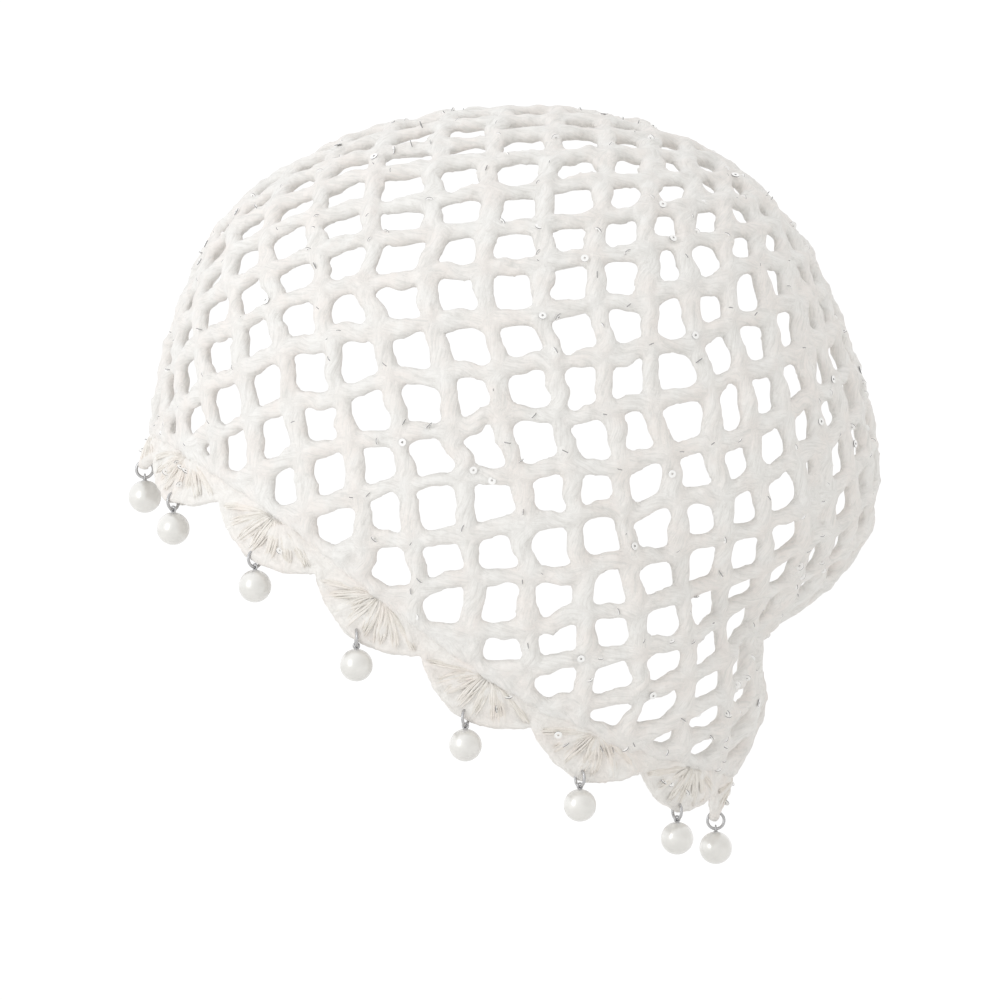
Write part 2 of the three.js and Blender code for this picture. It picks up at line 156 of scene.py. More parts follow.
# How the worn net leaves its square lattice, across and up, for each power of the place
SWAY_CELLS = 6
SWAY_LIMIT = 1.3
SWAY = [
    {"across": 1, "up": 0, "moves": (0, -5.1 * MM)},
    {"across": 0, "up": 1, "moves": (-3.5 * MM, 0)},
    {"across": 2, "up": 0, "moves": (-3.8 * MM, 0)},
    {"across": 1, "up": 1, "moves": (6.4 * MM, 0)},
    {"across": 3, "up": 0, "moves": (0, 19.8 * MM)},
    {"across": 2, "up": 1, "moves": (0, 10.7 * MM)},
    {"across": 1, "up": 2, "moves": (29.9 * MM, 0)},
    {"across": 0, "up": 3, "moves": (17.2 * MM, -7.1 * MM)},
]

# The outline seen from the side, from the side's centre: turn 0 is straight forward, 90 up
# and 180 back. reach is a share of OUTLINE_REACH. From 236 on to 362 the rows say how the
# side rounds off below the rim.
OUTLINE = [
    {"turn": 2, "reach": 1.003},
    {"turn": 20, "reach": 0.991},
    {"turn": 38, "reach": 0.982},
    {"turn": 56, "reach": 0.933},
    {"turn": 74, "reach": 0.896},
    {"turn": 92, "reach": 0.892},
    {"turn": 110, "reach": 0.917},
    {"turn": 128, "reach": 0.959},
    {"turn": 146, "reach": 0.986},
    {"turn": 164, "reach": 0.992},
    {"turn": 176, "reach": 1.027},
    {"turn": 188, "reach": 1.064},
    {"turn": 197, "reach": 1.078},
    {"turn": 206, "reach": 1.033},
    {"turn": 218, "reach": 0.96},
    {"turn": 223, "reach": 0.972},
    {"turn": 228, "reach": 1.09},
    {"turn": 236, "reach": 1.187},
    {"turn": 252, "reach": 1.3},
    {"turn": 275, "reach": 1.32},
    {"turn": 300, "reach": 1.29},
    {"turn": 325, "reach": 1.2},
    {"turn": 345, "reach": 1.067},
]


# The cap's surface


def outline_reach(turn):
    """The outline's reach at each turn, by a smooth curve through the rows."""
    at = np.array([row["turn"] for row in OUTLINE], float)
    reach = np.array([row["reach"] for row in OUTLINE])
    at = np.concatenate([at[-2:] - 360, at, at[:3] + 360])
    reach = np.concatenate([reach[-2:], reach, reach[:3]])
    slope = (reach[2:] - reach[:-2]) / (at[2:] - at[:-2])
    turn = at[2] + np.mod(np.asarray(turn, float) - at[2], 360)
    row = np.clip(np.searchsorted(at, turn, side="right") - 1, 2, len(at) - 4)
    span = at[row + 1] - at[row]
    share = (turn - at[row]) / span
    rest = 1 - share
    ends = reach[row] * (1 + 2 * share) * rest**2 + reach[row + 1] * (3 - 2 * share) * share**2
    slopes = span * share * rest * (slope[row - 1] * rest - slope[row] * share)
    return OUTLINE_REACH * (ends + slopes)


SIDE_CENTRE_Z = -(float(outline_reach(90)) - WALL / 2)


def side_points(turn, bend):
    """Points of the near side: bend is 0 at the side's centre and a quarter turn at the outline."""
    reach = outline_reach(turn) * np.sin(bend)
    x = -reach * np.cos(np.radians(turn))
    y = -HALF_WIDTH * np.maximum(np.cos(bend), 0)
    z = SIDE_CENTRE_Z + reach * np.sin(np.radians(turn))
    return np.stack(np.broadcast_arrays(x, y, z), -1)


def side_normals(turn, bend):
    """The crown's outward directions at the same places."""
    cosine = np.cos(np.radians(turn))
    sine = np.sin(np.radians(turn))
    none = np.zeros_like(turn, float)
    outward = np.stack([-cosine, none, sine], -1)
    onward = np.stack([sine, none, cosine], -1)
    reach = outline_reach(turn)
    slope = (outline_reach(turn + 0.5) - outline_reach(turn - 0.5)) / np.radians(1)
    along_bend = outward * (reach * np.cos(bend))[..., None]
    along_bend[..., 1] = HALF_WIDTH * np.sin(bend)
    along_turn = onward * reach[..., None] + outward * slope[..., None]
    normals = np.cross(along_turn, along_bend)
    return normals / np.linalg.norm(normals, axis=-1, keepdims=True)


def unrolled(turn, bend):
    """The same places on the side unrolled flat, where the net is square."""
    away = outline_reach(turn) * bend
    angle = np.pi - np.radians(turn + NET_TURN)
    return np.stack([away * np.cos(angle), away * np.sin(angle)], -1)


def rolled_up(flat):
    """The turn and bend of unrolled places."""
    turn = 180 - NET_TURN - np.degrees(np.arctan2(flat[..., 1], flat[..., 0]))
    bend = np.linalg.norm(flat, axis=-1) / outline_reach(turn)
    return turn, np.minimum(bend, np.pi / 2)


def rim_places(around):
    """The rim, from the front's mid-line (0) past the near ear (90) to the nape's (180)."""
    front = side_points(np.array(float(RIM_FRONT_TURN)), np.pi / 2)
    back = side_points(np.array(float(RIM_BACK_TURN)), np.pi / 2)
    cosine = np.cos(np.radians(np.clip(around, 0, 180)))
    chord = (back - front) / np.linalg.norm(back - front)
    below = np.array([chord[2], 0, -chord[0]])
    fullness = 1 - cosine**2
    dip = RIM_DIP * fullness * (1 - RIM_DIP_SKEW * cosine)
    drift = fullness * (RIM_DRIFT + RIM_SPREAD * cosine)
    points = front + (back - front) * ((1 - cosine) / 2)[..., None]
    points = points + below * dip[..., None] + chord * drift[..., None]
    height = points[..., 2] - SIDE_CENTRE_Z
    turn = np.degrees(np.arctan2(height, -points[..., 0]))
    share = np.hypot(points[..., 0], height) / outline_reach(turn)
    return turn, np.arcsin(np.minimum(share, 1))


def mirrored(points):
    """The far side's points for those of the near side."""
    return points * np.array([1, -1, 1])


def edging_frames(around):
    """Each place's point on the rim, outward direction and direction down the edging."""
    around = np.mod(np.asarray(around, float), 360)
    far = around > 180
    near = np.where(far, 360 - around, around)

    def rim_point(at):
        folded = np.where(at > 180, 360 - at, np.abs(at))
        points = side_points(*rim_places(folded))
        over = (at < 0) | (at > 180)
        return np.where(over[..., None], mirrored(points), points)

    step = 0.5
    along = rim_point(near + step) - rim_point(near - step)
    along /= np.linalg.norm(along, axis=-1, keepdims=True)
    outward = side_normals(*rim_places(near))
    down = np.cross(along, outward)
    down /= np.linalg.norm(down, axis=-1, keepdims=True)
    return [np.where(far[..., None], mirrored(v), v) for v in (rim_point(near), outward, down)]


def edging_drop(around):
    """How far the scalloped edge hangs below the rim: deepest at each shell's tip."""
    around = np.asarray(around, float)
    lobe = np.abs(np.cos(np.radians(around * SHELLS / 2)))
    in_front = np.round(around * SHELLS / 360) % SHELLS == 0
    tip_drop = EDGING_TIP_DROP - np.where(in_front, FRONT_SHELL_RISE, 0)
    return EDGING_VALLEY_DROP + (tip_drop - EDGING_VALLEY_DROP) * lobe**SCALLOP_ROUNDNESS


def edging_points(around, drop, offset=0.0):
    """Places round the rim and down the edging, set out from its middle by the offset."""
    point, outward, down = edging_frames(around)
    flare = EDGING_FLARE * drop / EDGING_TIP_DROP + offset
    return point + down * np.asarray(drop)[..., None] + outward * np.asarray(flare)[..., None]


# Yarn


def unit(vectors):
    return vectors / np.maximum(np.linalg.norm(vectors, axis=-1, keepdims=True), 1e-12)


class Yarn:
    """A mesh of many plies, each a tube of a few sides."""

    def __init__(self):
        self.points = []
        self.quads = []
        self.count = 0

    def ply(self, centres, guides, across, depth, sides=PLY_SIDES, closed=False):
        """Adds a tube. across and depth are its half sizes beside and along the guides."""
        steps = len(centres)
        if closed:
            heading = unit(np.roll(centres, -1, 0) - np.roll(centres, 1, 0))
        else:
            heading = unit(np.gradient(centres, axis=0))
        beside = unit(np.cross(guides, heading))
        outward = np.cross(heading, beside)
        across = np.broadcast_to(across, steps).astype(float).copy()
        depth = np.broadcast_to(depth, steps).astype(float).copy()
        if not closed:
            across[[0, -1]] *= 0.05
            depth[[0, -1]] *= 0.05
        angle = np.linspace(0, 2 * np.pi, sides, endpoint=False)
        ring = (
            centres[:, None]
            + beside[:, None] * (across[:, None] * np.cos(angle))[..., None]
            + outward[:, None] * (depth[:, None] * np.sin(angle))[..., None]
        )
        spans = steps if closed else steps - 1
        step, side = np.meshgrid(np.arange(spans), np.arange(sides), indexing="ij")
        ahead = (step + 1) % steps
        beyond = (side + 1) % sides
        corners = [step * sides + side, ahead * sides + side]
        corners += [ahead * sides + beyond, step * sides + beyond]
        self.quads.append(self.count + np.stack(corners, -1).reshape(-1, 4))
        self.points.append(ring.reshape(-1, 3))
        self.count += steps * sides

    def sheet(self, grid):
        """Adds a closed sheet from a grid of points (rows, columns, 3) that is one loop each way."""
        rows, columns = grid.shape[:2]
        row, column = np.meshgrid(np.arange(rows), np.arange(columns), indexing="ij")
        below = (row + 1) % rows
        beyond = (column + 1) % columns
        corners = [row * columns + column, below * columns + column]
        corners += [below * columns + beyond, row * columns + beyond]
        self.quads.append(self.count + np.stack(corners, -1).reshape(-1, 4))
        self.points.append(grid.reshape(-1, 3))
        self.count += rows * columns

    def piece(self, name, far=False):
        """The Blender object, or its mirror image for the far side."""
        return quad_piece(name, np.concatenate(self.points), np.concatenate(self.quads), far=far)


def quad_piece(name, points, quads, fibre=None, far=False):
    """A smooth-shaded object of quads. fibre says where each point lies in its strand."""
    if far:
        points = mirrored(points)
        quads = quads[:, ::-1]
    mesh = bpy.data.meshes.new(name)
    mesh.vertices.add(len(points))
    mesh.vertices.foreach_set("co", points.astype(np.float32).ravel())
    mesh.loops.add(quads.size)
    mesh.loops.foreach_set("vertex_index", quads.astype(np.int32).ravel())
    mesh.polygons.add(len(quads))
    mesh.polygons.foreach_set("loop_start", np.arange(0, quads.size, 4, dtype=np.int32))
    mesh.polygons.foreach_set("use_smooth", np.ones(len(quads), bool))
    if fibre is not None:
        layer = mesh.attributes.new(FIBRE, "FLOAT_VECTOR", "POINT")
        layer.data.foreach_set("vector", fibre.astype(np.float32).ravel())
    mesh.update(calc_edges=True)
    mesh.validate()
    thing = bpy.data.objects.new(name, mesh)
    bpy.context.scene.collection.objects.link(thing)
    return thing


def melded(yarn, voxel):
    """The yarn's plies run together into one soft skin: its points, quads and outward directions."""
    rough = yarn.piece("rough")
    join = rough.modifiers.new("join", "REMESH")
    join.mode = "VOXEL"
    join.voxel_size = voxel
    ease = rough.modifiers.new("ease", "SMOOTH")
    ease.factor = 0.5
    ease.iterations = MELD_EASING
    made = rough.evaluated_get(bpy.context.evaluated_depsgraph_get())
    mesh = bpy.data.meshes.new_from_object(made)
    points = np.empty(len(mesh.vertices) * 3)
    mesh.vertices.foreach_get("co", points)
    outward = np.empty(len(mesh.vertices) * 3)
    mesh.vertex_normals.foreach_get("vector", outward)
    quads = np.empty(len(mesh.loops), int)
    mesh.loops.foreach_get("vertex_index", quads)
    bare = rough.data
    bpy.data.objects.remove(rough)
    bpy.data.meshes.remove(bare)
    bpy.data.meshes.remove(mesh)
    return points.reshape(-1, 3), quads.reshape(-1, 4), outward.reshape(-1, 3)


def lumps(points, size, seed):
    """A smooth uneven height at each point, about -1 to 1, with bumps of about the given size."""
    dice = np.random.default_rng([SEED, seed])
    waves = unit(dice.normal(size=(14, 3))) * (dice.uniform(0.5, 1.1, 14) * np.pi / size)[:, None]
    return np.sin(points @ waves.T + dice.uniform(0, 2 * np.pi, 14)).sum(1) / 3.5


def strand_places(points, axes, lay):
    """Where each point lies in the strand nearest to it: along it, beside it and out of it.

    The last two turn slowly along the strand, so fibres drawn by them have the yarn's lay.
    """
    middle = np.concatenate([strand[0] for strand in axes])
    beside = np.concatenate([strand[1] for strand in axes])
    outward = np.concatenate([strand[2] for strand in axes])
    heading = np.cross(beside, outward)
    along = []
    for number, strand in enumerate(axes):
        along.append(run_length(strand[0]) + number * STRAND_SHIFT)
    along = np.concatenate(along)
    tree = kdtree.KDTree(len(middle))
    for number, point in enumerate(middle):
        tree.insert(point, number)
    tree.balance()
    nearest = np.array([tree.find(point)[1] for point in points])
    away = points - middle[nearest]
    onward = along[nearest] + (away * heading[nearest]).sum(1)
    aside = (away * beside[nearest]).sum(1)
    out = (away * outward[nearest]).sum(1)
    phase = 2 * np.pi * onward / lay
    turned = aside * np.cos(phase) + out * np.sin(phase)
    return np.stack([onward, turned, out * np.cos(phase) - aside * np.sin(phase)], -1)


def smooth_run(points, per_span):
    """A smooth curve through the points, with the given number of steps from each to the next."""
    before = np.concatenate([[2 * points[0] - points[1]], points[:-1]])[:-1]
    after = np.concatenate([points[1:], [2 * points[-1] - points[-2]]])[1:]
    start = points[:-1]
    end = points[1:]
    share = np.linspace(0, 1, per_span, endpoint=False)[None, :, None]
    start, end, before, after = (p[:, None] for p in (start, end, before, after))
    curve = 0.5 * (
        2 * start
        + (end - before) * share
        + (2 * before - 5 * start + 4 * end - after) * share**2
        + (3 * start - before - 3 * end + after) * share**3
    )
    return np.concatenate([curve.reshape(-1, points.shape[1]), points[-1:]])


def strand_axes(turn, bend):
    """A strand's points on the crown, with the directions beside it and outward."""
    points = side_points(turn, bend)
    outward = side_normals(turn, bend)
    heading = unit(np.gradient(points, axis=0))
    beside = unit(np.cross(outward, heading))
    return points, beside, outward


def run_length(points):
    """How far along the run each of its points lies."""
    gap = np.linalg.norm(np.diff(points, axis=0), axis=1)
    return np.concatenate([[0], np.cumsum(gap)])


def braid(yarn, points, beside, outward, width, stitch, closed=False, depth=STRAND_DEPTH):
    """A level chain: a core, and plies that cross over it, so the edges wave with each stitch."""
    length = run_length(points)
    if closed:
        whole = length[-1] + np.linalg.norm(points[0] - points[-1])
        stitch = whole / round(whole / stitch)
    half = width / 2
    yarn.ply(points, outward, CHAIN_CORE[0] * half, CHAIN_CORE[1] * depth, closed=closed)
    for number in range(STRAND_PLIES):
        phase = 2 * np.pi * (length / stitch + number / STRAND_PLIES)
        aside = CHAIN_SWING[0] * half * np.sin(phase)
        out = CHAIN_SWING[1] * depth * np.sin(2 * phase)
        centres = points + beside * aside[:, None] + outward * out[:, None]
        yarn.ply(centres, outward, STRAND_PLY[0] * half, STRAND_PLY[1] * depth, closed=closed)


def twist(yarn, points, beside, outward, width, start):
    """An upright post: a core with plies that turn slowly round it."""
    length = run_length(points)
    half = width / 2
    yarn.ply(points, outward, POST_CORE[0] * half, POST_CORE[1] * STRAND_DEPTH)
    for number in range(STRAND_PLIES):
        phase = 2 * np.pi * (length / POST_LAY + start + number / STRAND_PLIES)
        aside = POST_SWING[0] * half * np.sin(phase)
        out = POST_SWING[1] * STRAND_DEPTH * np.cos(phase)
        centres = points + beside * aside[:, None] + outward * out[:, None]
        yarn.ply(centres, outward, STRAND_PLY[0] * half, STRAND_PLY[1] * STRAND_DEPTH)


# The net


def panel_edge():
    """One side's edge, unrolled: over the crown's mid-line, then back along the rim."""
    turn = np.linspace(RIM_BACK_TURN, RIM_FRONT_TURN, 400, endpoint=False)
    top = unrolled(turn, np.full_like(turn, np.pi / 2))
    rim = unrolled(*rim_places(np.linspace(0, 180, 300, endpoint=False)))
    return np.concatenate([top, rim])


EDGE = panel_edge()


def inside(flat):
    """Which unrolled places lie on the side's panel."""
    x, y = flat[:, :1], flat[:, 1:]
    start, end = EDGE, np.roll(EDGE, -1, 0)
    over = (start[:, 1] > y) != (end[:, 1] > y)
    rise = np.where(end[:, 1] == start[:, 1], 1, end[:, 1] - start[:, 1])
    crossing = start[:, 0] + (end[:, 0] - start[:, 0]) * (y - start[:, 1]) / rise
    return (over & (x < crossing)).sum(1) % 2 == 1


def swayed(cells):
    """Unrolled places of the lattice's crossings, drawn out as the worn net is."""
    share = cells / SWAY_CELLS
    soft = SWAY_LIMIT * np.tanh(share / SWAY_LIMIT)
    flat = cells * NET_PITCH
    for term in SWAY:
        powers = term["across"], term["up"]
        base = share if sum(powers) == 1 else soft
        size = base[..., 0] ** powers[0] * base[..., 1] ** powers[1]
        flat = flat + size[..., None] * np.array(term["moves"])
    return flat


def net_node(column, row):
    """A crossing's place: a little off the lattice, or on the edge when it lies near it."""
    dice = np.random.default_rng([SEED, column + 50, row + 50])
    flat = swayed(np.array([column, row], float)) + dice.normal(0, NODE_WANDER, 2)
    away = np.linalg.norm(EDGE - flat, axis=1)
    nearest = int(away.argmin())
    on_edge = away[nearest] < EDGE_SNAP * NET_PITCH
    return (EDGE[nearest] if on_edge else flat), on_edge


def net_lines():
    """Every row and column as control points, three to a cell, that bow a little."""
    share = np.arange(-NET_REACH * STEPS_PER_CELL, NET_REACH * STEPS_PER_CELL + 1) / STEPS_PER_CELL
    least = round(0.3 * STEPS_PER_CELL)
    for axis in (0, 1):
        for line in range(-NET_REACH, NET_REACH + 1):
            cells = np.stack([np.full_like(share, line), share][:: 1 if axis == 0 else -1], -1)
            path = swayed(cells)
            within = np.concatenate([[0], inside(path).astype(int), [0]])
            starts = np.flatnonzero(np.diff(within) > 0)
            ends = np.flatnonzero(np.diff(within) < 0) - 1
            dice = np.random.default_rng([SEED, axis, line + 50, 3])
            for first, last in zip(starts, ends):
                if last - first < 2 * least:
                    continue
                low = math.ceil(share[first + least])
                high = math.floor(share[last - least])
                crosses = range(low, high + 1)
                nodes = [(line, cross) if axis == 0 else (cross, line) for cross in crosses]
                points = [path[first - 1], *(net_node(*cell)[0] for cell in nodes), path[last + 1]]
                bowed = [points[0]]
                for start, stop in zip(points, points[1:]):
                    along = stop - start
                    aside = np.array([-along[1], along[0]]) / np.linalg.norm(along)
                    bow, kink = dice.normal(0, STRAND_BOW, 2)
                    bowed.append(start + along / 3 + aside * (bow + kink))
                    bowed.append(stop - along / 3 + aside * (bow - kink))
                    bowed.append(stop)
                yield axis, line, np.array(bowed)


def width_along(points, dice, width):
    """A strand's width, which is never quite even."""
    steps = len(points)
    knots = dice.normal(0, WIDTH_WANDER, steps // 4 + 3)
    return width * (1 + np.interp(np.arange(steps) / 4, np.arange(len(knots)), knots))


def blob(yarn, run, width):
    """A flat round swelling of the yarn along a short run."""
    points, _, outward = strand_axes(*rolled_up(run))
    share = np.linspace(-1, 1, len(run))
    swell = np.sqrt(np.maximum(1 - share**2, 0))
    yarn.ply(points, outward, width / 2 * swell, 0.46 * STRAND_DEPTH * swell, sides=12)


def build_net():
    """The near side's posts and chains, worked into one soft net, with its strand of the seam."""
    net = Yarn()
    axes = []
    for axis, line, control in net_lines():
        dice = np.random.default_rng([SEED, axis, line + 50, 9])
        flat = smooth_run(control, STEPS_PER_CELL // 3)
        points, beside, outward = strand_axes(*rolled_up(flat))
        width = width_along(flat, dice, POST_WIDTH if axis == 0 else CHAIN_WIDTH)
        axes.append((points, beside, outward, width))
        if axis == 0:
            twist(net, points, beside, outward, width, dice.random())
        else:
            braid(net, points, beside, outward, width, CHAIN_STITCH)
    for column in range(-NET_REACH, NET_REACH + 1):
        for row in range(-NET_REACH, NET_REACH + 1):
            flat, on_edge = net_node(column, row)
            if on_edge or not inside(flat[None])[0]:
                continue
            dice = np.random.default_rng([SEED, column + 50, row + 50, 5])
            angle = math.radians(45 + 90 * dice.integers(2) + dice.normal(0, 12))
            share = np.linspace(-1, 1, 9)[:, None] * np.array([math.cos(angle), math.sin(angle)])
            reach = dice.normal(*KNOT_HALF_LENGTH) * MM
            blob(net, flat + share * reach, dice.normal(*KNOT_WIDTH) * MM)
    turn = np.linspace(RIM_FRONT_TURN, RIM_BACK_TURN, 30 * STEPS_PER_CELL)
    points, beside, outward = strand_axes(turn, np.full_like(turn, np.pi / 2))
    points = points - np.array([0, SEAM_ASIDE, 0])
    width = np.full(len(points), SEAM_STRAND_WIDTH)
    axes.append((points, beside, outward, width))
    braid(net, points, beside, outward, width, CHAIN_STITCH)
    around = np.linspace(0, 180, 40 * SHELLS)
    points = edging_points(around, np.full_like(around, RIM_STRAND_DROP))
    outward = edging_frames(around)[1]
    beside = unit(np.cross(outward, unit(np.gradient(points, axis=0))))
    width = width_along(points, np.random.default_rng([SEED, 41]), RIM_STRAND_WIDTH)
    axes.append((points, beside, outward, width))
    braid(net, points, beside, outward, width, RIM_STITCH, depth=RIM_STRAND_DEPTH)
    add_threads(net, axes)
    return net, axes


def add_threads(net, axes):
    """Thin plies that wind along the skin of each strand, to be melded with it into soft ridges."""
    for number, (points, beside, outward, width) in enumerate(axes):
        dice = np.random.default_rng([SEED, number, 61])
        length = run_length(points)
        for thread in range(THREADS):
            lay = dice.choice([-1, 1]) * dice.uniform(*THREAD_LAY) * NET_PITCH
            knots = dice.normal(0, 0.3, len(points) // 3 + 3)
            wander = np.interp(np.arange(len(points)) / 3, np.arange(len(knots)), knots)
            phase = 2 * np.pi * (length / lay + (thread + dice.random()) / THREADS) + wander
            aside = THREAD_SWING[0] * width * np.sin(phase)
            out = THREAD_SWING[1] * STRAND_DEPTH * np.cos(phase)
            centres = points + beside * aside[:, None] + outward * out[:, None]
            half_width = dice.uniform(*THREAD_HALF_WIDTH) * MM
            net.ply(centres, outward, half_width, THREAD_HALF_DEPTH, sides=THREAD_SIDES)


# The edging


def fan_stitches():
    """Each stitch's run round the rim and down from its shell's eye, and its width and bulge."""
    half = 180 / SHELLS
    share = np.linspace(0, 1, 13)
    for shell in range(SHELLS):
        dice = np.random.default_rng([SEED, min(shell, SHELLS - shell), 21])
        tip = shell * 360 / SHELLS
        flip = 1 if shell <= SHELLS / 2 else -1
        stitches = int(dice.integers(7, 9))
        for stitch in range(stitches):
            middle = (stitch + 0.5) / stitches * 2 - 1
            middle = float(np.clip(middle + dice.normal(0, 0.03), -0.93, 0.93))
            start = 0.16 * middle + dice.normal(0, 0.02)
            place = tip + flip * half * (start + (middle - start) * share**0.75)
            end_drop = edging_drop(place[-1]) - STITCH_END_SHORT
            deep = SHELL_EYE_DEPTH + (end_drop - SHELL_EYE_DEPTH) * share
            width = (0.6 + 1.2 * np.sin(np.pi * np.clip(0.12 + share * 0.8, 0, 1)) ** 0.8) * MM
            bulge = 0.45 + 0.15 * np.sin(np.pi * share) + dice.normal(0, 0.08)
            yield place, deep, width, bulge


def build_fans():
    """Fine plies that spread from each shell's eye over its stitches, inside and outside."""
    fans = Yarn()
    dice = np.random.default_rng([SEED, 55])
    share = np.linspace(0, 1, 9)
    for place, deep, width, _ in fan_stitches():
        at = np.linspace(0, 1, len(place))
        run = np.interp(share, at, place)
        down = np.interp(share, at, deep)
        for face, plies in ((1, FAN_PLIES_OUTSIDE), (-1, FAN_PLIES_INSIDE)):
            for ply in range(plies):
                aside = ((ply + 0.5) / plies - 0.5) * 1.9 + dice.normal(0, 0.15)
                wave = dice.normal(0, 0.12) * np.sin(np.pi * share * dice.uniform(1, 2.5))
                spread = np.degrees((aside + wave) * np.interp(share, at, width) / RIM_RADIUS)
                shorter = dice.uniform(0.82, 1.0)
                lift = 1.22 + 0.22 * np.sin(np.pi * share) - 0.3 * abs(aside) ** 2
                lift = lift + dice.normal(0, 0.07)
                reach = down * shorter + 0.3 * MM * (1 - share)
                centres = edging_points(run + spread, reach, face * lift * MM)
                taper = np.sin(np.pi * np.clip(share * 0.94 + 0.05, 0, 1)) ** 0.4
                fine = dice.uniform(0.24, 0.4) * MM * taper
                fans.ply(centres, edging_frames(run)[1], fine, 0.8 * fine, sides=5)
    return fans


def build_edging():
    """Fans of stitches on a thin backing, with a chained lip along the scallops."""
    edging = Yarn()
    axes = []
    columns = SHELLS * 24
    around = np.arange(columns) * 360 / columns
    drop = edging_drop(around)
    backing = [(0.0, 0.75), (0.33, 0.75), (0.66, 0.75), (0.95, 0.6)]
    backing += [(share, -offset) for share, offset in backing[::-1]]
    rows = [edging_points(around, share * drop, offset * MM) for share, offset in backing]
    edging.sheet(np.stack(rows))
    for place, deep, width, bulge in fan_stitches():
        for face in (1, -1):
            centres = edging_points(place, deep, face * bulge * MM)
            outward = edging_frames(place)[1]
            edging.ply(centres, outward, width, STITCH_HALF_DEPTH)
            beside = unit(np.cross(outward, unit(np.gradient(centres, axis=0))))
            axes.append((centres, beside, outward, width))
    steps = SHELLS * 40
    around = np.arange(steps) * 360 / steps
    points = edging_points(around, edging_drop(around) - LIP_INSET)
    outward = edging_frames(around)[1]
    heading = unit(np.roll(points, -1, 0) - np.roll(points, 1, 0))
    beside = unit(np.cross(outward, heading))
    width = LIP_WIDTH * (1 + 0.16 * lumps(points, 3.5 * MM, 43))
    axes.append((points, beside, outward, width))
    braid(edging, points, beside, outward, width, LIP_STITCH, closed=True, depth=LIP_DEPTH)
    return edging, axes


# Beads and wire


def lathe(profile, sides):
    """Points and quads of a profile of (radius, height) rows turned about +Z."""
    angle = np.linspace(0, 2 * np.pi, sides, endpoint=False)
    radius, height = profile[:, :1], profile[:, 1:]
    points = np.stack([radius * np.cos(angle), radius * np.sin(angle), height + 0 * angle], -1)
    rows = len(profile) - 1
    row, side = np.meshgrid(np.arange(rows), np.arange(sides), indexing="ij")
    beyond = (side + 1) % sides
    corners = [row * sides + side, row * sides + beyond]
    corners += [(row + 1) * sides + beyond, (row + 1) * sides + side]
    return points.reshape(-1, 3), np.stack(corners, -1).reshape(-1, 4)


class Solid(Yarn):
    """A mesh of turned forms and wire rings."""

    def add(self, points, quads):
        """Adds points with the quads between them."""
        self.quads.append(self.count + quads)
        self.points.append(points)
        self.count += len(points)

    def wire(self, centre, wide, tall, radius, thick, sweep=360, start=0):
        """A ring of wire in the plane of two directions, open where sweep stops short."""
        closed = sweep == 360
        angle = np.radians(start + np.linspace(0, sweep, WIRE_STEPS, endpoint=not closed))
        spoke = np.outer(np.cos(angle), wide) + np.outer(np.sin(angle), tall)
        centres = centre + spoke * radius
        self.ply(centres, spoke, thick / 2, thick / 2, sides=WIRE_SIDES, closed=closed)


def node_points(node):
    """The points of a CAD node."""
    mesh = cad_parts[node].data
    points = np.empty(len(mesh.vertices) * 3)
    mesh.vertices.foreach_get("co", points)
    return points.reshape(-1, 3)


def ring_plane(node):
    """A jump ring's centre and the level direction in its plane."""
    points = node_points(node)
    centre = (points.min(0) + points.max(0)) / 2
    _, _, axes = np.linalg.svd(points - points.mean(0))
    square = axes[2]
    facing = unit(np.array([square[1], -square[0], 0]))
    return centre, facing


def build_ring(node):
    """A jump ring of wire, whose ends nearly meet at its top."""
    centre, facing = ring_plane(node)
    low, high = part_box(node)
    reach = (high.z - low.z) / 2 - RING_WIRE / 2
    solid = Solid()
    solid.wire(centre, facing, UP, reach, RING_WIRE, sweep=RING_SWEEP, start=RING_START)
    return solid.piece(node + "_wire")


def build_pearl(node, ring):
    """A round pearl with its wire eye, drilled hole lip and a small bead cap below the eye."""
    centre, facing = ring_plane(ring)
    low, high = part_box(node)
    radius = PEARL / 2
    middle = np.array([(low.x + high.x) / 2, (low.y + high.y) / 2, low.z + radius])
    angle = np.linspace(-np.pi / 2, np.pi / 2, 33)
    profile = np.stack([radius * np.cos(angle), radius * np.sin(angle)], -1)
    profile[0, 0] = profile[-1, 0] = radius * 0.002
    bead = Solid()
    points, quads = lathe(profile, PEARL_SIDES)
    bead.add(points + middle, quads)
    across = np.cross(UP, facing)
    eye = Solid()
    top = middle + np.array([0, 0, radius])
    eye_reach = (high.z - top[2] - EYE_WIRE / 2) / 2
    eye_centre = top + np.array([0, 0, eye_reach])
    eye.wire(eye_centre, across, UP, eye_reach, EYE_WIRE)
    collar = [(0.02, -0.5), (0.62, -0.42), (0.7, -0.1), (0.5, 0.16), (0.34, 0.3), (0.02, 0.34)]
    points, quads = lathe(np.array(collar) * MM, COLLAR_SIDES)
    eye.add(points + top, quads)
    return bead.piece(node + "_bead"), eye.piece(node + "_eye")


def sequin_form():
    """A flat clear disc with a small hole: its face rings first, then its rim and the hole's wall."""
    middle = 0.6 * SEQUIN_RADIUS
    profile = [(SEQUIN_HOLE, 0.5), (middle, 0.56), (SEQUIN_RADIUS, 0.4)]
    profile += [(SEQUIN_RADIUS, -0.4), (middle, -0.44), (SEQUIN_HOLE, -0.5), (SEQUIN_HOLE, 0.5)]
    return lathe(np.array(profile) * [1, SEQUIN_THICKNESS], SEQUIN_SIDES)


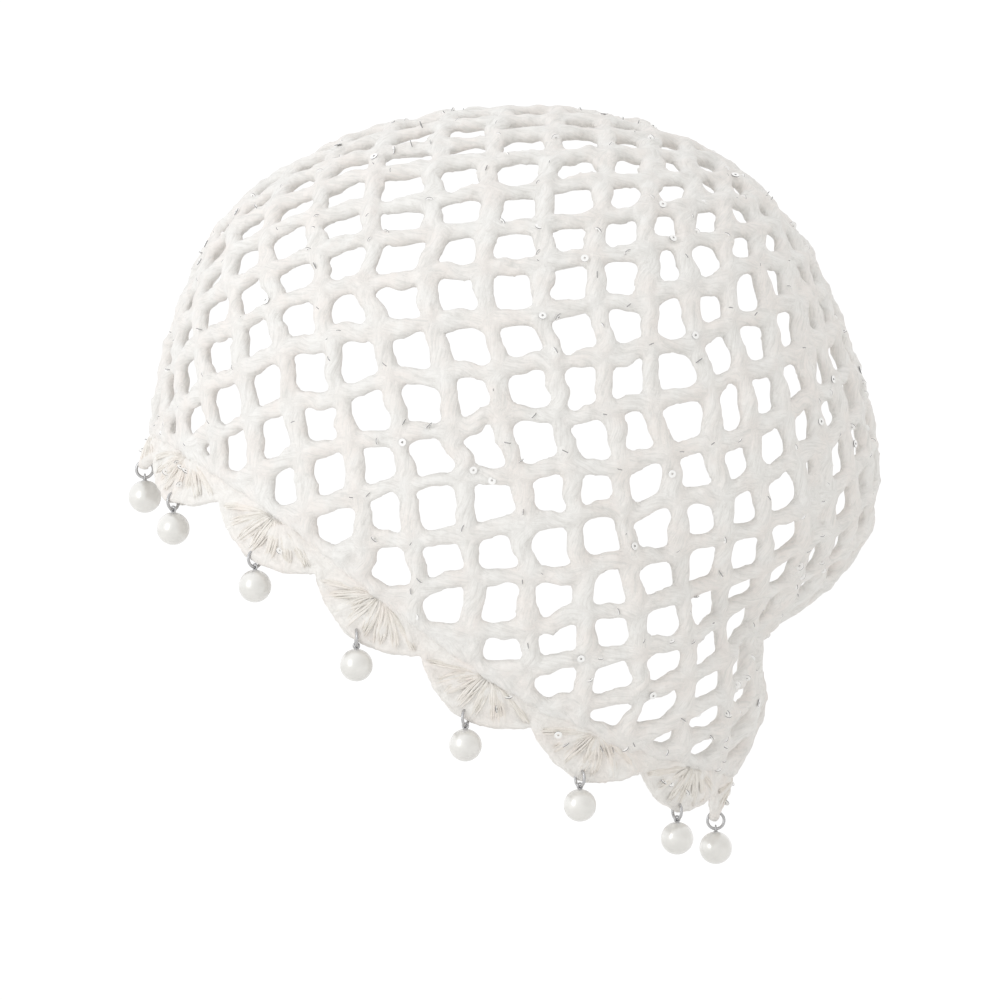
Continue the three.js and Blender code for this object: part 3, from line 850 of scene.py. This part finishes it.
def build_sequins(axes, chance, seed):
    """Clear round sequins caught in the yarn, most of them on edge and half sunk."""
    faces = Solid()
    rims = Solid()
    dice = np.random.default_rng([SEED, seed])
    points, quads = sequin_form()
    band = np.arange(len(quads)) // SEQUIN_SIDES
    # The rim band and the hole's wall take the dark colour that paints the edge's dark reflections
    # and the hole's shade.
    on_rim = (band == 2) | (band == 5)
    for place, beside, outward, _ in axes:
        heading = np.cross(beside, outward)
        for step in range(3, len(place) - 3, SEQUIN_EVERY):
            if dice.random() > chance:
                continue
            flat = dice.random() < SEQUIN_FLAT_SHARE
            spin = dice.random() * 2 * np.pi
            level = beside[step] * math.cos(spin) + heading[step] * math.sin(spin)
            tilt = dice.normal(0, 0.2) if flat else math.pi / 2 + dice.normal(0, 0.16)
            facing = outward[step] * math.cos(tilt) + level * math.sin(tilt)
            right = unit(np.cross(facing, [0.3, 0.2, 1.0]))
            upright = np.cross(facing, right)
            lift = (2.0 if flat else dice.normal(1.35, 0.2)) * MM
            centre = place[step] + outward[step] * lift + beside[step] * dice.normal(0, 0.95) * MM
            size = 1.0 if flat else dice.uniform(0.7, 1.05)
            turned = size * points @ np.stack([right, upright, facing]) + centre
            faces.add(turned, quads[~on_rim])
            rims.add(turned, quads[on_rim])
    return faces, rims


# Materials


def material(name):
    """A new material, its node tree and its shader."""
    made = bpy.data.materials.new(name)
    made.use_nodes = True
    tree = made.node_tree
    return made, tree, tree.nodes["Principled BSDF"]


def node(tree, kind, **values):
    """A new node, with values for its sockets or its settings."""
    made = tree.nodes.new(kind)
    for name, value in values.items():
        if name in made.inputs:
            made.inputs[name].default_value = value
        else:
            setattr(made, name, value)
    return made


def yarn_material(name, light, painted_shade, bump):
    """Soft matt yarn: fine fibres in the yarn's lay, with faintly warmer and cooler patches, and
    painted shade in the grooves between the fibres.
    """
    made, tree, shader = material(name)
    link = tree.links.new
    strand = node(tree, "ShaderNodeAttribute", attribute_name=FIBRE)
    where = node(tree, "ShaderNodeTexCoord")
    stretch = node(tree, "ShaderNodeMapping", Scale=(260, 2600, 2600))
    coarse_stretch = node(tree, "ShaderNodeMapping", Scale=(90, 900, 900))
    fibres = node(tree, "ShaderNodeTexNoise", Scale=1.0, Detail=3.0, Roughness=0.6)
    bundles = node(tree, "ShaderNodeTexNoise", Scale=1.0, Detail=2.0, Roughness=0.5)
    patches = node(tree, "ShaderNodeTexNoise", Scale=110.0, Detail=3.0, Roughness=0.55)
    link(strand.outputs["Vector"], stretch.inputs["Vector"])
    link(strand.outputs["Vector"], coarse_stretch.inputs["Vector"])
    link(stretch.outputs["Vector"], fibres.inputs["Vector"])
    link(coarse_stretch.outputs["Vector"], bundles.inputs["Vector"])
    link(where.outputs["Object"], patches.inputs["Vector"])
    height = node(tree, "ShaderNodeMath", operation="ADD")
    link(fibres.outputs["Fac"], height.inputs[0])
    link(bundles.outputs["Fac"], height.inputs[1])
    tone = node(tree, "ShaderNodeValToRGB")
    tone.color_ramp.elements[0].position = 0.4
    tone.color_ramp.elements[0].color = (*light, 1)
    tone.color_ramp.elements[1].position = 0.62
    tone.color_ramp.elements[1].color = (light[0], light[1] * 0.968, light[2] * 0.955, 1)
    link(patches.outputs["Fac"], tone.inputs["Fac"])
    # Painted shade: the colour blends to the darker shade colour where the fibres' height is low, in
    # the grooves between them.
    depth = node(tree, "ShaderNodeMapRange")
    depth.inputs["From Min"].default_value = 0.72
    depth.inputs["From Max"].default_value = 1.1
    link(height.outputs["Value"], depth.inputs["Value"])
    blend = node(tree, "ShaderNodeMix", data_type="RGBA")
    link(depth.outputs["Result"], blend.inputs["Factor"])
    link(tone.outputs["Color"], blend.inputs[7])
    blend.inputs[6].default_value = (*painted_shade, 1)
    link(blend.outputs[2], shader.inputs["Base Color"])
    creases = node(tree, "ShaderNodeTexNoise", Scale=620.0, Detail=4.0, Roughness=0.6)
    link(where.outputs["Object"], creases.inputs["Vector"])
    crumpled = node(tree, "ShaderNodeBump", Strength=0.6, Distance=0.0008)
    link(creases.outputs["Fac"], crumpled.inputs["Height"])
    raised = node(tree, "ShaderNodeBump", Strength=bump, Distance=0.0004)
    link(height.outputs["Value"], raised.inputs["Height"])
    link(crumpled.outputs["Normal"], raised.inputs["Normal"])
    link(raised.outputs["Normal"], shader.inputs["Normal"])
    shader.inputs["Roughness"].default_value = 0.95
    shader.inputs["Specular IOR Level"].default_value = 0.15
    shader.inputs["Sheen Weight"].default_value = 0.2
    shader.inputs["Sheen Roughness"].default_value = 0.5
    return made


def pearl_material():
    """Imitation pearl: a clear coat over a faintly clouded warm white."""
    made, tree, shader = material("pearl_gloss")
    where = node(tree, "ShaderNodeTexCoord")
    clouds = node(tree, "ShaderNodeTexNoise", Scale=260.0, Detail=2.0)
    ramp = node(tree, "ShaderNodeValToRGB")
    ramp.color_ramp.elements[0].position = 0.3
    ramp.color_ramp.elements[0].color = (0.80, 0.795, 0.77, 1)
    ramp.color_ramp.elements[1].position = 0.7
    ramp.color_ramp.elements[1].color = (0.87, 0.86, 0.835, 1)
    tree.links.new(where.outputs["Object"], clouds.inputs["Vector"])
    tree.links.new(clouds.outputs["Fac"], ramp.inputs["Fac"])
    tree.links.new(ramp.outputs["Color"], shader.inputs["Base Color"])
    shader.inputs["Metallic"].default_value = 0.55
    shader.inputs["Roughness"].default_value = 0.3
    shader.inputs["Specular IOR Level"].default_value = 0.6
    shader.inputs["Coat Weight"].default_value = 0.9
    shader.inputs["Coat Roughness"].default_value = 0.17
    shader.inputs["Sheen Weight"].default_value = 0.2
    return made


def silver_material():
    """Bright silver-coloured wire, faintly brushed and worn."""
    made, tree, shader = material("silver_wire_shine")
    where = node(tree, "ShaderNodeTexCoord")
    scratches = node(tree, "ShaderNodeTexNoise", Scale=1800.0, Detail=3.0)
    ramp = node(tree, "ShaderNodeValToRGB")
    ramp.color_ramp.elements[0].color = (0.12, 0.12, 0.12, 1)
    ramp.color_ramp.elements[1].color = (0.4, 0.4, 0.4, 1)
    tree.links.new(where.outputs["Object"], scratches.inputs["Vector"])
    tree.links.new(scratches.outputs["Fac"], ramp.inputs["Fac"])
    tree.links.new(ramp.outputs["Color"], shader.inputs["Roughness"])
    shader.inputs["Base Color"].default_value = (0.55, 0.55, 0.56, 1)
    shader.inputs["Metallic"].default_value = 1.0
    return made


def sequin_material(name, colour, clearness):
    """Thin clear plastic in the given colour. A dark colour here paints the dark reflections of a
    sequin's edge and the shade in its hole.
    """
    made, tree, shader = material(name)
    where = node(tree, "ShaderNodeTexCoord")
    haze = node(tree, "ShaderNodeTexNoise", Scale=900.0)
    ramp = node(tree, "ShaderNodeValToRGB")
    ramp.color_ramp.elements[0].color = (0.08, 0.08, 0.08, 1)
    ramp.color_ramp.elements[1].color = (0.3, 0.3, 0.3, 1)
    tree.links.new(where.outputs["Object"], haze.inputs["Vector"])
    tree.links.new(haze.outputs["Fac"], ramp.inputs["Fac"])
    tree.links.new(ramp.outputs["Color"], shader.inputs["Roughness"])
    shader.inputs["Base Color"].default_value = (*colour, 1)
    shader.inputs["Transmission Weight"].default_value = clearness
    shader.inputs["IOR"].default_value = 1.5
    shader.inputs["Coat Weight"].default_value = 1.0
    shader.inputs["Coat Roughness"].default_value = 0.15
    return made


# The studio

FLOOR_HALF = 2.5
FLOOR_HEIGHT = -0.27
KEY_PLACE = (-1.25, -1.2, 0.3)
KEY_ENERGY = 4
PIXEL = 0.26 * MM
FRAME_PIXELS = 1000
SIDE_CENTRE_PIXEL = (507, 421)
DIM_SIDE = (0.86, -0.5, 0.1)


def make_camera():
    """A level view of the wearer's left side, as from far away."""
    data = bpy.data.cameras.new("camera")
    data.type = "ORTHO"
    data.ortho_scale = FRAME_PIXELS * PIXEL
    data.clip_end = 20
    camera = bpy.data.objects.new("camera", data)
    across = (FRAME_PIXELS / 2 - SIDE_CENTRE_PIXEL[0]) * PIXEL
    down = (FRAME_PIXELS / 2 - SIDE_CENTRE_PIXEL[1]) * PIXEL
    camera.location = (across, -2, SIDE_CENTRE_Z - down)
    camera.rotation_euler = (math.radians(90), 0, 0)
    bpy.context.scene.collection.objects.link(camera)
    bpy.context.scene.camera = camera


def make_studio():
    """A white surround, a pale floor and a large soft light high on the camera's left."""
    world = bpy.data.worlds.new("studio")
    world.use_nodes = True
    tree = world.node_tree
    where = node(tree, "ShaderNodeTexCoord")
    toward = node(tree, "ShaderNodeVectorMath", operation="DOT_PRODUCT")
    toward.inputs[1].default_value = DIM_SIDE
    tree.links.new(where.outputs["Generated"], toward.inputs[0])
    ramp = node(tree, "ShaderNodeValToRGB")
    ramp.color_ramp.elements[0].position = 0.05
    ramp.color_ramp.elements[0].color = (1, 1, 1, 1)
    ramp.color_ramp.elements[1].position = 0.95
    ramp.color_ramp.elements[1].color = (0.745, 0.735, 0.715, 1)
    tree.links.new(toward.outputs["Value"], ramp.inputs["Fac"])
    tree.links.new(ramp.outputs["Color"], tree.nodes["Background"].inputs["Color"])
    tree.nodes["Background"].inputs["Strength"].default_value = 1.05
    bpy.context.scene.world = world
    bpy.context.scene.view_settings.view_transform = "Standard"
    floor = Solid()
    corners = [(-1, -1), (1, -1), (1, 1), (-1, 1)]
    points = [(x * FLOOR_HALF, y * FLOOR_HALF, FLOOR_HEIGHT) for x, y in corners]
    floor.add(np.array(points), np.array([[0, 1, 2, 3]]))
    piece = floor.piece("floor")
    made, _, shader = material("floor_paint")
    shader.inputs["Base Color"].default_value = (0.88, 0.875, 0.865, 1)
    shader.inputs["Roughness"].default_value = 0.9
    piece.data.materials.append(made)
    piece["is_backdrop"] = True
    data = bpy.data.lights.new("key", "AREA")
    data.shape = "RECTANGLE"
    data.size = 0.35
    data.size_y = 0.9
    data.energy = KEY_ENERGY
    key = bpy.data.objects.new("key", data)
    key.location = KEY_PLACE
    aim = Vector((0, 0, SIDE_CENTRE_Z)) - key.location
    key.rotation_euler = aim.to_track_quat("-Z", "Y").to_euler()
    bpy.context.scene.collection.objects.link(key)


# Putting it together


def dress(piece, look, replaced):
    """Gives a piece its material and its body, and hides the CAD node it replaces."""
    piece.data.materials.append(look)
    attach(piece, "root")
    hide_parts(replaced)


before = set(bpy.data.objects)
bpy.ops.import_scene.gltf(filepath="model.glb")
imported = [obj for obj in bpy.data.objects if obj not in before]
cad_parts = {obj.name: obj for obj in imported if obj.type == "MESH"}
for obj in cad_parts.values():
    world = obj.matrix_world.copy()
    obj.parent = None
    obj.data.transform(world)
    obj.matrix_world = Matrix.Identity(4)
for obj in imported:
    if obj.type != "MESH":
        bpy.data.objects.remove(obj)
cad_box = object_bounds()
make_camera()
make_studio()

# Each yarn's second colour is painted shade for the grooves between its fibres.
net_yarn = yarn_material("net_yarn", (0.895, 0.888, 0.87), (0.77, 0.76, 0.737), 0.22)
shell_yarn = yarn_material("shell_yarn", (0.91, 0.895, 0.87), (0.82, 0.80, 0.77), 0.3)
fan_yarn = yarn_material("fan_yarn", (0.925, 0.898, 0.855), (0.77, 0.735, 0.675), 0.4)
pearl_look = pearl_material()
silver = silver_material()
clear = sequin_material("sequin_clear", (0.995, 0.995, 0.99), 0.03)
# Painted reflection and shade: the sequins' rims and hole walls are dark grey, for the dark a clear
# disc shows along its edge and in its hole.
painted_dark_edge = sequin_material("sequin_painted_dark_edge", (0.22, 0.22, 0.23), 0.1)

net, strands = build_net()
points, quads, outward = melded(net, NET_VOXEL)
uneven = 0.24 * lumps(points, 2.8 * MM, 31) + 0.12 * lumps(points, 1.7 * MM, 33)
points = points + outward * (MM * uneven)[:, None]
fibre = strand_places(points, strands, NET_FIBRE_LAY)
faces, rims = build_sequins(strands[:-2], NET_SEQUIN_CHANCE, 77)
for far, side in ((False, "left"), (True, "right")):
    dress(quad_piece("net_" + side, points, quads, fibre, far), net_yarn, "net_crown")
    dress(faces.piece("sequins_" + side, far), clear, "net_crown")
    dress(rims.piece("sequin_edges_" + side, far), painted_dark_edge, "net_crown")
edging, strands = build_edging()
points, quads, outward = melded(edging, EDGING_VOXEL)
points = points + outward * (0.22 * MM * lumps(points, 2.2 * MM, 32))[:, None]
fibre = strand_places(points, strands, EDGING_FIBRE_LAY)
dress(quad_piece("edging_shells", points, quads, fibre), shell_yarn, "shell_edging")
fans = build_fans()
points = np.concatenate(fans.points)
quads = np.concatenate(fans.quads)
fibre = strand_places(points, strands, EDGING_FIBRE_LAY)
dress(quad_piece("edging_fans", points, quads, fibre), fan_yarn, "shell_edging")
faces, rims = build_sequins(strands[:-1:2], EDGING_SEQUIN_CHANCE, 78)
dress(faces.piece("sequins_edging"), clear, "shell_edging")
dress(rims.piece("sequin_edges_edging"), painted_dark_edge, "shell_edging")
for number in range(1, SHELLS + 1):
    ring, pearl = f"ring_{number:02d}", f"pearl_{number:02d}"
    dress(build_ring(ring), silver, ring)
    bead, eye = build_pearl(pearl, ring)
    dress(bead, pearl_look, pearl)
    dress(eye, silver, pearl)

visual_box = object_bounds()
boxes = {"cad": cad_box, "visual": visual_box}
{name: [[float(x) for x in corner] for corner in box] for name, box in boxes.items()}
